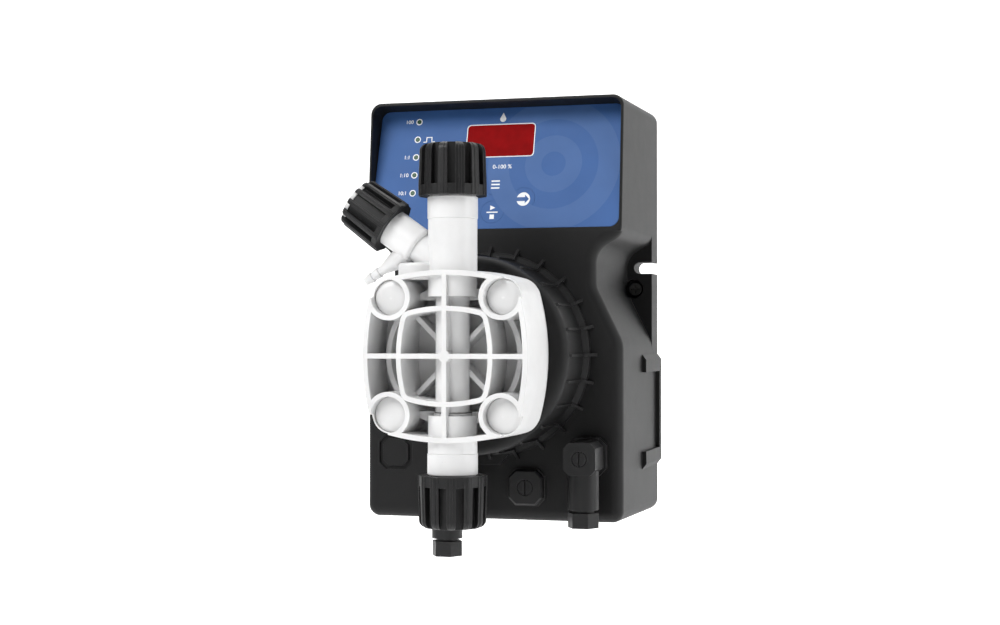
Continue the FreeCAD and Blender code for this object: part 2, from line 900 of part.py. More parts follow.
def board_screws():
    """Screws through the control board into its pillars."""
    face = panel_floor + board_gap + board_thick
    screws = []
    for place in board_hole_places():
        shank = panel_rod(place, board_screw_radius - fit_gap, face - 6.5, face)
        screws.append(joined(shank, [panel_rod(place, board_screw_radius + 1.2, face, face + 2.0)]))
    return Part.makeCompound(screws)


def board_components():
    """Larger components on the rear of the control board: place, half sizes and height."""
    face = panel_floor + board_gap + board_thick
    parts = []
    for x, z, half_x, half_z, height in ((-28, 62, 9, 6, 5.0), (-6, 74, 7, 7, 3.0), (24, 58, 6, 9, 7.0),
                                         (34, 82, 8, 4, 4.0)):
        body = front_slab(rectangle(x, z, half_x, half_z), 0, casing_depth)
        parts.append(body.common(tilted_slab(face, face + height, 0, half_height)))
    parts += [panel_rod((x, z), 4.0, face, face + 9) for x, z in ((-36, 84), (-24, 84), (8, 88))]
    return Part.makeCompound(parts)


def power_board():
    low, high = power_board_ends()
    half = (high - low) / 2
    outline = rectangle(0, low + half, half_width - power_side_gap, half, 2.0)
    board = front_slab(outline, power_board_reach, power_board_reach + board_thick)
    return board.cut([forward_rod(x, z, board_screw_radius, 0, casing_depth) for x, z in power_posts()])


def power_board_ends():
    return power_low_gap - half_height, half_height - power_high_gap


def power_posts():
    side = half_width - power_side_gap - power_post_inset
    low, high = power_board_ends()
    return [(x, z) for x in (-side, side) for z in (low + power_post_inset, high - power_post_inset)]


def power_board_posts():
    """Pillars that carry the power board on the rear cover."""
    posts = []
    for x, z in power_posts():
        base = Vector(x, 0, z)
        posts.append(tube(base, OUT, standoff_radius, board_screw_radius, cover_thick, power_board_reach))
    return posts


def power_components():
    face = power_board_reach + board_thick
    parts = [forward_rod(-28, 46, 8.0, face, face + 22), forward_rod(-8, 48, 6.0, face, face + 18),
             block(10, 35, face, face + 20, 36, 58), block(-36, -20, face, face + 9, -69, -56),
             block(-10, 12, face, face + 12, -70, -57), block(21, 36, face, face + 8, -69, -56)]
    return Part.makeCompound(parts)


# Electromagnet

def magnet_yoke():
    """Steel can with its front plate, bolted against the drum's front wall."""
    base = Vector(0, 0, head_z)
    inner = yoke_radius - yoke_wall
    can = turned([(0, yoke_back, 0), (yoke_radius, yoke_back, 0), (yoke_radius, yoke_front, 1.0),
                  (0, yoke_front, 0)], base, OUT)
    cuts = [rod(base, OUT, inner, yoke_back - 1, yoke_front - yoke_plate),
            rod(base, OUT, bush_radius, yoke_back, yoke_front + 1)]
    for x, z in head_places():
        hole_end = yoke_front - yoke_plate + thread_end_gap
        cuts.append(forward_rod(x, z, head_bolt_radius, hole_end, yoke_front + 1))
    return can.cut(cuts)


def magnet_rear_plate():
    base = Vector(0, 0, head_z)
    plate = rod(base, OUT, yoke_radius - yoke_wall, yoke_back, yoke_back + yoke_plate)
    side = coil_radius - rear_plate_hole_inset
    return plate.cut([forward_rod(x, head_z, rear_plate_hole, yoke_back - 1, yoke_back + yoke_plate + 1)
                      for x in (-side, side)])


def magnet_core():
    """Fixed pole in the front plate, hollow for the shaft, with a pocket for the spring."""
    base = Vector(0, 0, head_z)
    pole = tube(base, OUT, armature_radius, bush_radius, pole_back, yoke_front - yoke_plate)
    return pole.cut(rod(base, OUT, spring_pocket_radius, pole_back - 1, pole_back + spring_pocket_depth))


def shaft_bush():
    base = Vector(0, 0, head_z)
    start = pole_back + spring_pocket_depth + bush_end_gap
    return tube(base, OUT, bush_radius, shaft_radius + running_gap, start, yoke_front)


def coil_bobbin():
    base = Vector(0, 0, head_z)
    front = yoke_front - yoke_plate
    back = yoke_back + yoke_plate
    bore = armature_radius + running_gap
    barrel = bore + tube_wall
    rim_radius = yoke_radius - yoke_wall - bobbin_gap
    profile = [(bore, back, 0), (rim_radius, back, 0), (rim_radius, back + bobbin_rim, 0),
               (barrel, back + bobbin_rim, 0), (barrel, front - bobbin_rim, 0),
               (rim_radius, front - bobbin_rim, 0), (rim_radius, front, 0), (bore, front, 0)]
    return turned(profile, base, OUT)


def coil_winding():
    base = Vector(0, 0, head_z)
    front = yoke_front - yoke_plate - bobbin_rim
    back = yoke_back + yoke_plate + bobbin_rim
    return tube(base, OUT, coil_radius, armature_radius + running_gap + tube_wall, back, front)


def plunger():
    """Armature and shaft in one piece, with a seat for the return spring."""
    base = Vector(0, 0, head_z)
    tip = backplate_front
    profile = [(0, armature_back, 0), (armature_radius, armature_back, 0.8),
               (armature_radius, armature_front, 0.8), (shaft_radius, armature_front, 0),
               (shaft_radius, tip, 0), (0, tip, 0)]
    return turned(profile, base, OUT)


def plunger_buffer():
    """Rubber stop behind the armature."""
    base = Vector(0, 0, head_z)
    plate = yoke_back + yoke_plate
    return rod(base, OUT, armature_radius - buffer_inset, plate, plate + buffer_thick)


def return_spring():
    """Coil spring between the armature and the pole's pocket."""
    first = armature_front + spring_wire + running_gap
    length = pole_back + spring_pocket_depth - spring_wire - running_gap - first
    helix = Part.makeHelix(length / spring_turns, length, spring_radius)
    centre = Vector(spring_radius, 0, 0)
    halves = [Part.makeCircle(spring_wire, centre, Vector(0, 1, 0), start, start + 180) for start in (0, 180)]
    coil = Part.Wire(helix.Edges).makePipeShell([Part.Wire(halves)], True, True)
    coil.Placement = FreeCAD.Placement(Vector(0, -first, head_z), FreeCAD.Rotation(UP, OUT))
    return coil


# Pump head

def pillow(half, pitch, corner, reach):
    """Outline with four bulged sides, whose corner arcs are centred at plus and minus the pitch."""
    inset = half - pitch
    side = (inset ** 2 + pitch ** 2 - corner ** 2) / (2 * (inset - corner))
    far = half - side
    angle = math.atan2(pitch, pitch - far)
    edges = []
    for quarter in range(4):
        turn = math.radians(90 * quarter)

        def spot(u, v):
            return Vector(u * math.cos(turn) - v * math.sin(turn), -reach,
                          head_z + u * math.sin(turn) + v * math.cos(turn))

        low = (far + side * math.cos(angle), -side * math.sin(angle))
        high = (far + side * math.cos(angle), side * math.sin(angle))
        diagonal = pitch + corner * math.sqrt(0.5)
        edges.append(Part.Arc(spot(*low), spot(half, 0), spot(*high)).toShape())
        edges.append(Part.Arc(spot(*high), spot(diagonal, diagonal), spot(high[1], high[0])).toShape())
    return Part.Wire(edges)


def pillow_slab(half, pitch, corner, reach_from, reach_to):
    return slab(pillow(half, pitch, corner, reach_from), reach_to - reach_from)


def pillow_ring(half, pitch, corner, wall, reach_from, reach_to):
    outer = pillow_slab(half, pitch, corner, reach_from, reach_to)
    return outer.cut(pillow_slab(half - wall, pitch, corner - wall, reach_from - 1, reach_to + 1))


def head_envelope():
    back = pillow(head_half + head_draft, head_pitch, head_corner + head_draft, head_back)
    front = pillow(head_half, head_pitch, head_corner, head_front)
    return Part.makeLoft([back, front], True, True)


def head_places():
    return [(x, head_z + z) for x in (-head_pitch, head_pitch) for z in (-head_pitch, head_pitch)]


def head_webs():
    """Ribs inside the head: cross, inner pillow ring, diagonals, band and bars to the bosses."""
    low = head_front - low_web_reach
    span = head_half
    parts = [block(-span, span, floor_reach, head_front, head_z - web / 2, head_z + web / 2),
             block(-web / 2, web / 2, floor_reach, head_front, head_z - span, head_z + span),
             pillow_ring(ring_half, ring_pitch, ring_corner, web, floor_reach, head_front),
             forward_rod(0, head_z, hub_radius, floor_reach, head_front),
             tube(Vector(0, 0, head_z), OUT, band_radius, band_radius - band_width, floor_reach, low)]
    diagonal = block(-web / 2, web / 2, floor_reach, low, head_z - band_radius, head_z + band_radius)
    for angle in (45, -45):
        turned_web = diagonal.copy()
        turned_web.rotate(Vector(0, 0, head_z), OUT, angle)
        parts.append(turned_web)
    for z in (head_z - head_pitch, head_z + head_pitch):
        parts.append(block(-head_pitch, head_pitch, floor_reach, low, z - web / 2, z + web / 2))
    return parts


def head_tubes():
    """Valve sockets, the tube between them, the vent branch and its boss."""
    axis = vent_axis()
    base = vent_base()
    rise = head_z + vent_boss_rise
    boss = turned([(0, head_z + head_half - 4, 0), (vent_boss_radius, head_z + head_half - 4, 0),
                   (vent_boss_radius, rise, 1.4), (0, rise, 0)], Vector(vent_boss_x, -valve_reach, 0), UP)
    return [upright_rod(0, valve_reach, core_tube_radius, head_z - head_pitch - 4, head_z + head_pitch + 4),
            upright_rod(0, valve_reach, port_radius, head_z + socket_above, tube_top),
            upright_rod(0, valve_reach, port_radius, tube_bottom, head_z - socket_above),
            rod(base, axis, vent_branch_radius, 4.0, vent_body_start), boss]


def head_bores():
    """Waterways, valve seats and screw holes."""
    axis = vent_axis()
    base = vent_base()
    bore = cartridge_radius + cartridge_gap
    cuts = [upright_rod(0, valve_reach, bore, tube_top - cartridge_depth - 0.4, tube_top + 1),
            upright_rod(0, valve_reach, bore, tube_bottom - 1, tube_bottom + cartridge_depth + 0.4),
            upright_rod(0, valve_reach, channel_radius, tube_bottom, tube_top),
            forward_rod(0, head_z, inlet_radius, head_back - 1, valve_reach),
            forward_rod(0, head_z, chamber_radius, head_back - 1, head_back + chamber_depth),
            rod(base, axis, vent_channel, 0, vent_spigot_start + 1),
            rod(base, axis, vent_spigot_radius + running_gap, vent_spigot_start - 0.2, vent_body_start + 1),
            rod(base, axis, vent_body_radius + seat_gap, vent_body_start, vent_body_end),
            rod(*barb_line(), barb_root_radius + seat_gap, 0, barb_length)]
    for x, z in head_places():
        cuts.append(forward_rod(x, z, head_bolt_radius + seat_gap, head_back - 1, head_front + 1))
        cuts.append(forward_rod(x, z, cap_radius + cap_gap, cap_base, head_front + 1))
        cuts.append(forward_rod(x, z, washer_radius + seat_gap, washer_seat, head_front + 1))
    return cuts


def corner_steps():
    """Outer quarter round each screw, where the rim is lower than the rest."""
    far = head_half + 2
    steps = []
    for x in (-1, 1):
        for z in (-1, 1):
            x_from, x_to = sorted((x * head_pitch, x * far))
            z_from, z_to = sorted((z * head_pitch, z * far))
            steps.append(block(x_from, x_to, head_front - cap_recess, head_front + 1,
                               head_z + z_from, head_z + z_to))
    return steps


def pump_head():
    """Ribbed head: one moulding with the outer rim, the webs and both valve sockets."""
    envelope = head_envelope()
    hollow_half = head_half - head_wall
    hollow = pillow_slab(hollow_half, head_pitch, head_corner - head_wall, floor_reach, head_front + 1)
    bosses = [forward_rod(x, z, boss_radius, head_back, head_front) for x, z in head_places()]
    inside = envelope.common(bosses[0].fuse(bosses[1:] + head_webs()))
    head = envelope.cut(hollow).fuse([inside] + head_tubes())
    head = head.cut(head_bores() + corner_steps())
    return head.removeSplitter()


def head_backplate():
    """Plate behind the diaphragm, with a raised rim round the diaphragm's edge."""
    half = head_half + head_draft - backplate_inset
    plate = pillow_slab(half, head_pitch, head_corner + head_draft - backplate_inset, drum_front, head_back)
    cuts = [forward_rod(0, head_z, core_radius + core_clearance, drum_front - 1, backplate_front + 1),
            forward_rod(0, head_z, diaphragm_radius + seat_gap, backplate_front, head_back + 1)]
    cuts += [forward_rod(x, z, head_bolt_radius + seat_gap, drum_front - 1, head_back + 1)
             for x, z in head_places()]
    return plate.cut(cuts)


def diaphragm():
    """Clamped rim and thin web with one roll, open at the centre for the moving core."""
    middle = (backplate_front + head_back) / 2
    half = diaphragm_thick / 2
    inner = core_radius + body_gap
    web = diaphragm_web / 2
    profile = [(inner, middle - web, 0), (chamber_radius - 6, middle - web, 2),
               (chamber_radius - 3, middle - half, 2), (diaphragm_radius, middle - half, 0),
               (diaphragm_radius, middle + half, 0), (chamber_radius, middle + half, 1),
               (chamber_radius - 5, middle + web, 2), (inner, middle + web, 0)]
    return turned(profile, Vector(0, 0, head_z), OUT)


def diaphragm_core():
    """Moulded-in centre that moves with the plunger's shaft."""
    base = Vector(0, 0, head_z)
    front = head_back - 0.2
    profile = [(0, backplate_front, 0), (core_radius, backplate_front, 0.6), (core_radius, front, 0.9),
               (0, front, 0)]
    return turned(profile, base, OUT)


def head_screws():
    """Socket screws from the head through the drum wall into the magnet's front plate."""
    seat = washer_seat + washer_thick
    tip = drum_front - casing_wall - yoke_plate + 0.5
    length = seat - tip
    shank = head_bolt_radius - fit_gap
    screws = []
    for x, z in head_places():
        profile = [(0, -length, 0), (shank, -length, 0.5), (shank, 0, 0), (head_bolt_head, 0, 0),
                   (head_bolt_head, head_bolt_head_height, 0.5), (0, head_bolt_head_height, 0)]
        screw = turned(profile, Vector(x, -seat, z), OUT)
        recess = hexagon_prism(Vector(x, -seat, z), OUT, head_bolt_key, head_bolt_head_height - 2.5,
                               head_bolt_head_height + 1)
        screws.append(screw.cut(recess))
    return Part.makeCompound(screws)


def head_washers():
    front = washer_seat + washer_thick
    rings = [tube(Vector(x, 0, z), OUT, washer_radius, head_bolt_radius + seat_gap, washer_seat, front)
             for x, z in head_places()]
    return Part.makeCompound(rings)


def screw_caps():
    """Domed caps over the head screws."""
    caps = []
    crown = cap_base + cap_edge
    for x, z in head_places():
        profile = [(0, cap_base, 0), (cap_radius, cap_base, 0), (cap_radius, crown - cap_dome, 0.5),
                   (cap_radius - 2.2, crown - 0.35, 6.0), (0, crown, 0)]
        caps.append(turned(profile, Vector(x, 0, z), OUT))
    return Part.makeCompound(caps)


# Ball valves

def groove_and_ring(base, axis, height):
    """Cut for a seal ring in a cartridge, and the ring."""
    wire = ring_wire
    centre = cartridge_radius + cartridge_gap - fit_gap - wire
    half = wire + 0.1
    cut = tube(base, axis, cartridge_radius + 1, centre - wire - fit_gap, height - half, height + half)
    ring = Part.makeTorus(centre, wire, base + axis * height, axis)
    return cut, ring


def valve_body(axis, port_z, collar, chamber_from, chamber_to):
    """Cartridge in a tube: spigot, collar and thread, with a ball chamber between two heights."""
    base = Vector(0, -valve_reach, port_z)
    sign = axis.z
    neck = collar + thread_length
    profile = [(0, -cartridge_depth, 0), (cartridge_radius, -cartridge_depth, 0.4), (cartridge_radius, 0, 0),
               (collar_radius, 0, collar_round), (collar_radius, collar, collar_round),
               (thread_radius, collar, 0),
               (thread_radius, neck, 0.5), (0, neck, 0)]
    body = turned(profile, base, axis)
    cuts = [rod(base, axis, channel_radius, -cartridge_depth - 1, neck + 1)]
    low, high = sorted((sign * (chamber_from - port_z), sign * (chamber_to - port_z)))
    cuts.append(rod(base, axis, chamber_bore, low, high))
    cuts.append(groove_and_ring(base, axis, -cartridge_depth + 3.0)[0])
    return body.cut(cuts)


def valve_rings():
    """Seal rings round both cartridges."""
    top = groove_and_ring(Vector(0, -valve_reach, tube_top), UP, -cartridge_depth + 3.0)[1]
    bottom = groove_and_ring(Vector(0, -valve_reach, tube_bottom), DOWN, -cartridge_depth + 3.0)[1]
    return Part.makeCompound([top, bottom])


def ball_rise():
    """Height of a ball's centre above the edge of its seat."""
    return math.sqrt(ball_radius ** 2 - seat_bore ** 2) + 0.03


def valve_seat(z):
    base = Vector(0, -valve_reach, z)
    outer = chamber_bore - fit_gap
    profile = [(seat_bore - 0.6, 0, 0), (outer, 0, 0.3), (outer, seat_length, 0),
               (seat_bore, seat_length, 0), (seat_bore - 0.6, seat_length - 1.2, 0)]
    return turned(profile, base, UP)


def valve_ball(seat_z):
    centre = Vector(0, -valve_reach, seat_z + seat_length + ball_rise())
    return Part.makeSphere(ball_radius, centre)


def valve_guide(seat_z):
    """Cage over the ball: a slotted ring with a cross bar that stops it."""
    low = seat_z + seat_length
    stop = low + ball_rise() + ball_radius + ball_lift
    base = Vector(0, -valve_reach, 0)
    cage = tube(base, UP, chamber_bore - fit_gap, ball_radius + guide_gap, low, stop + guide_bar)
    bars = [Part.makeBox(2 * chamber_bore - 1, guide_bar, guide_bar,
                         Vector(-chamber_bore + 0.5, -valve_reach - guide_bar / 2, stop)),
            Part.makeBox(guide_bar, 2 * chamber_bore - 1, guide_bar,
                         Vector(-guide_bar / 2, -valve_reach - chamber_bore + 0.5, stop))]
    slots = []
    for angle in (45, 135):
        slot = Part.makeBox(4 * chamber_bore, 2.4, stop - low - 3, Vector(-2 * chamber_bore, -1.2, low + 1.5))
        slot.Placement = FreeCAD.Placement(base, FreeCAD.Rotation(UP, angle))
        slots.append(slot)
    return joined(cage.cut(slots), bars)


valve_space = seat_length + ball_rise() + ball_radius + ball_lift + guide_bar
discharge_seat_z = tube_top - cartridge_depth
suction_seat_z = tube_bottom + cartridge_depth - valve_space


# Hose joints

def joint_heights(collar):
    """Heights above a tube's end: thread end, flange top, nut start and nut end."""
    neck = collar + thread_length
    start = collar + 0.2
    return neck, neck + cone_flange, start, start + nut_length


def hose_cone(axis, port_z, collar):
    base = Vector(0, -valve_reach, port_z)
    neck, flange, _, _ = joint_heights(collar)
    tip = flange + cone_length
    profile = [(cone_bore, neck, 0), (thread_radius - 0.4, neck, 0), (thread_radius - 0.4, flange, 0.3),
               (cone_base, flange, 0), (cone_base, flange + 2.0, 0), (cone_tip, tip, 0), (cone_bore, tip, 0)]
    return turned(profile, base, axis)


def hose_ferrule(axis, port_z, collar):
    base = Vector(0, -valve_reach, port_z)
    _, flange, _, _ = joint_heights(collar)
    low = flange + body_gap
    high = low + ferrule_length
    outer = thread_radius - ferrule_gap
    profile = [(cone_base + ferrule_gap + 0.4, low, 0), (outer, low, 0.3), (outer, high, 0.6),
               (cone_base + ferrule_gap, high, 0)]
    return turned(profile, base, axis)


def grip_profile(wide, start, end, taper, skirt, rounding):
    return [(0, start, 0), (wide, start, 0.4), (wide, start + skirt, 0), (wide - taper, end, rounding),
            (0, end, 0)]


def ribbed_grip(base, axis, start, end, radius, taper, skirt, rounding, phase=0.5):
    """Outer form of a hand nut: ribs between deep grooves, with flats between the ribs on the skirt.

    Each rib has a thin bead along its middle. The phase turns the grooves about the axis, as a share of
    their pitch.
    """
    wide = radius + rib_proud
    form = turned(grip_profile(wide, start, end, taper, skirt, rounding), base, axis)
    proud = turned(grip_profile(wide + bead_rise, start, end, taper, skirt, rounding), base, axis)
    place = FreeCAD.Placement(base, FreeCAD.Rotation(UP, axis))
    beads = []
    for index in range(grip_ribs // 2):
        bead = Part.makeBox(4 * radius, bead_width, end - start,
                            Vector(-2 * radius, -bead_width / 2, start))
        bead.rotate(Vector(0, 0, 0), UP, 360.0 * (index + phase + 0.5) / grip_ribs)
        bead.Placement = place.multiply(bead.Placement)
        beads.append(proud.common(bead))
    form = form.fuse(beads).removeSplitter()
    cuts = []
    for index in range(grip_ribs):
        edge = Vector(0, -grip_groove / 2, 0)
        flat = Part.makeBox(20, grip_groove, skirt + 1, edge + Vector(radius, 0, start - 1))
        groove = Part.makeBox(20, grip_groove, end - start, edge + Vector(radius - taper - grip_depth, 0,
                                                                          start + skirt))
        for cut in (flat, groove):
            cut.rotate(Vector(0, 0, 0), UP, 360.0 * (index + phase) / grip_ribs)
            cut.Placement = place.multiply(cut.Placement)
            cuts.append(cut)
    return form.cut(cuts)


def hose_nut(axis, port_z, collar, phase):
    """Ribbed nut that clamps a hose over the cone. Its bore is threaded on the real nut."""
    base = Vector(0, -valve_reach, port_z)
    _, flange, start, end = joint_heights(collar)
    form = ribbed_grip(base, axis, start, end, nut_radius, nut_taper, nut_skirt, nut_end_round, phase)
    bore = thread_radius + thread_gap
    shoulder = flange + body_gap + ferrule_length + body_gap
    cuts = [rod(base, axis, bore, start - 1, shoulder), rod(base, axis, nut_hole, shoulder - 1, end + 1),
            Part.makeCone(collar_radius + 0.2, bore, 1.4, base + axis * (start - 0.01), axis)]
    return form.cut(cuts)


# Vent valve

def vent_axis():
    angle = math.radians(vent_angle)
    return Vector(math.cos(angle), 0, math.sin(angle))


def vent_base():
    return Vector(0, -valve_reach, head_z + vent_rise)


def barb_line():
    """Start on the vent's axis and direction of its hose spigot."""
    angle = math.radians(barb_angle)
    return vent_base() + vent_axis() * barb_from, Vector(math.cos(angle), 0, math.sin(angle))


def barb():
    """Hose spigot of the vent: two barbs and a flare where it meets the body."""
    base, axis = barb_line()
    tip = barb_length
    neck = tip - 2 * barb_pitch
    profile = [(0, 4, 0), (barb_root_radius, 4, 0), (barb_root_radius - 0.2, neck - 9.2, 4.0),
               (barb_radius + 0.15, neck - 1.7, 6.0), (barb_radius, neck - 0.1, 0), (barb_crest, neck, 0),
               (barb_radius, tip - barb_pitch - 0.1, 0), (barb_crest, tip - barb_pitch, 0),
               (barb_radius - 0.25, tip, 0), (0, tip, 0)]
    return turned(profile, base, axis), rod(base, axis, barb_bore, 0.5, tip + 1)


def vent_valve_body():
    base = vent_base()
    axis = vent_axis()
    profile = [(0, vent_spigot_start, 0), (vent_spigot_radius, vent_spigot_start, 0.4),
               (vent_spigot_radius, vent_body_start, 0), (vent_body_radius, vent_body_start, 1.8),
               (vent_body_radius, vent_body_end, 0.3), (vent_thread_radius, vent_body_end, 0),
               (vent_thread_radius, vent_thread_end, 0.4), (0, vent_thread_end, 0)]
    spigot, hole = barb()
    body = turned(profile, base, axis).fuse(spigot)
    cuts = [rod(base, axis, vent_channel, vent_spigot_start - 1, vent_seat_at + 1),
            rod(base, axis, needle_radius + needle_gap, vent_seat_at, vent_thread_end + 1), hole]
    return body.cut(cuts).removeSplitter()


def vent_needle():
    """Needle that closes the channel. Its head turns freely in the knob."""
    base = vent_base()
    axis = vent_axis()
    at_seat = vent_channel - needle_gap
    tip = vent_seat_at - (at_seat - needle_tip_radius) / needle_slope
    full = vent_seat_at + (needle_radius - at_seat) / needle_slope
    head = needle_head_at
    profile = [(0, tip, 0), (needle_tip_radius, tip, 0), (needle_radius, full, 0), (needle_radius, head, 0),
               (needle_head_radius, head, 0.3), (needle_head_radius, head + needle_head_length, 0.3),
               (0, head + needle_head_length, 0)]
    return turned(profile, base, axis)


def vent_knob():
    base = vent_base()
    axis = vent_axis()
    form = ribbed_grip(base, axis, knob_start, knob_end, knob_radius, knob_taper, knob_skirt, knob_end_round)
    bore = vent_thread_radius + thread_gap
    cuts = [rod(base, axis, vent_body_radius + body_gap, knob_start - 1, vent_body_end + body_gap),
            rod(base, axis, bore, knob_start, vent_thread_end + 0.8),
            rod(base, axis, needle_radius + body_gap, knob_start, knob_end),
            rod(base, axis, needle_head_radius + body_gap, needle_head_at - body_gap, knob_end),
            rod(base, axis, knob_cap_radius, knob_end - knob_cap_thick + knob_cap_proud, knob_end + 1)]
    return form.cut(cuts)


def knob_cap():
    """Pale disc in the end of the vent knob."""
    start = knob_end - knob_cap_thick + knob_cap_proud
    end = start + knob_cap_thick
    outer = knob_cap_radius - fit_gap
    profile = [(0, start, 0), (outer, start, 0), (outer, end, 0.6), (0, end, 0)]
    return turned(profile, vent_base(), vent_axis())


# Connectors

def connector_socket(place):
    """Base on the casing with a tail through its wall and four blades for the plug."""
    x, z = place
    base = Vector(x, 0, z)
    front = casing_depth + socket_thick
    plate = front_slab(octagon(x, z, socket_half, socket_chamfer), casing_depth, front)
    tail = rod(base, OUT, socket_tail_radius, casing_depth - casing_wall - 3, casing_depth)
    blades = []
    for u, v in ((0, blade_pitch), (0, -blade_pitch), (-blade_pitch, 0), (blade_pitch, 0)):
        half_u = blade_width / 2 if u == 0 else blade_thick / 2
        half_v = blade_thick / 2 if u == 0 else blade_width / 2
        blades.append(block(x + u - half_u, x + u + half_u, front - 1, front + blade_length,
                            z + v - half_v, z + v + half_v))
    solid = joined(plate, [tail] + blades)
    return solid.cut(rod(base, OUT, 1.5, casing_depth - 2, front + 1))


def connector_gasket(place):
    x, z = place
    front = casing_depth + socket_thick
    sheet = front_slab(octagon(x, z, plug_gasket_half, plug_chamfer), front, front + plug_gasket_thick)
    inner = plug_half - plug_wall
    return sheet.cut(front_slab(rectangle(x, z, inner, inner), front - 1, front + plug_gasket_thick + 1))


def connector_housing(place):
    """Angled plug housing with its cable outlet pointing down."""
    x, z = place
    back = casing_depth + socket_thick + plug_gasket_thick
    front = back + plug_length
    body = front_slab(octagon(x, z, plug_half, plug_chamfer), back, front)
    reach = plug_neck_reach
    neck_end = z - plug_neck_drop
    neck = upright_rod(x, reach, plug_neck_radius, neck_end, z - plug_half + 2)
    stem = upright_rod(x, reach, plug_groove_radius, neck_end - plug_groove, neck_end)
    hollow_half = plug_half - plug_wall
    hollow = front_slab(rectangle(x, z, hollow_half, hollow_half, 1.0), back - 1, front - plug_wall - 1.4)
    solid = joined(body, [neck, stem])
    cuts = [hollow, upright_rod(x, reach, gland_bore + gland_seal_wall, neck_end - plug_groove - 1, z),
            forward_rod(x, z, 1.7, back, front + 1),
            forward_rod(x, z, plug_screw_radius + seat_gap, front - 1.6, front + 1)]
    return solid.cut(cuts)


def gland_nut(place):
    x, z = place
    reach = plug_neck_reach
    top = z - plug_neck_drop - plug_groove
    nut = hexagon_prism(Vector(x, -reach, 0), UP, gland_nut_across, top - gland_nut_height, top)
    return nut.cut(upright_rod(x, reach, gland_bore, top - gland_nut_height - 1, top + 1))


def slotted_screw(place, radius, reach_front, reach_tip):
    """Round-headed screw with a slot, whose head ends flush at reach_front."""
    x, z = place
    head = 1.5
    shank = plug_screw_shank
    profile = [(0, reach_tip, 0), (shank, reach_tip, 0.3), (shank, reach_front - head, 0),
               (radius, reach_front - head, 0), (radius, reach_front, 0.2), (0, reach_front, 0)]
    screw = turned(profile, Vector(x, 0, z), OUT)
    slot = block(x - 0.4, x + 0.4, reach_front - 0.9, reach_front + 1, z - radius, z + radius)
    return screw.cut(slot)


def connector_screw(place):
    front = casing_depth + socket_thick + plug_gasket_thick + plug_length
    return slotted_screw(place, plug_screw_radius, front - 0.1, casing_depth - 1.5)


def blank_gasket():
    x, z = blank_place
    front = casing_depth + blank_gasket_thick
    sheet = front_slab(octagon(x, z, socket_half, socket_chamfer), casing_depth, front)
    return sheet.cut(forward_rod(x, z, socket_tail_radius + seat_gap, casing_depth - 1, casing_depth + 2))


def blank_plug():
    """Cover for an unused connector place, with a chamfered rim."""
    x, z = blank_place
    back = casing_depth + blank_gasket_thick
    front = back + blank_thick
    edge = front_wire(octagon(x, z, blank_half, socket_chamfer), front - blank_edge)
    inner = front_wire(octagon(x, z, blank_half - blank_edge, socket_chamfer - blank_edge / 2), front)
    cap = front_slab(octagon(x, z, blank_half, socket_chamfer), back, front - blank_edge)
    top = Part.makeLoft([edge, inner], True, True)
    tail = forward_rod(x, z, socket_tail_radius, casing_depth - casing_wall, back)
    cuts = [forward_rod(x, z, 1.5, casing_depth - casing_wall - 1, front + 1),
            forward_rod(x, z, plug_screw_radius + 0.2 + seat_gap, front - 1.6, front + 1)]
    return joined(cap, [top, tail]).cut(cuts)


def blank_screw():
    front = casing_depth + blank_gasket_thick + blank_thick
    return slotted_screw(blank_place, plug_screw_radius + 0.2, front - 0.1, casing_depth - casing_wall)


def gland_seal(place):
    """Rubber sleeve inside the cable outlet."""
    x, z = place
    top = z - plug_neck_drop - plug_groove
    base = Vector(x, -plug_neck_reach, 0)
    outer = gland_bore + gland_seal_wall - fit_gap
    return tube(base, UP, outer, gland_bore, top, top + gland_seal_length)


def connectors(make, others=()):
    return Part.makeCompound([make(plug_place), make(hidden_place)] + list(others))


# Every node of the pump, written to its own file

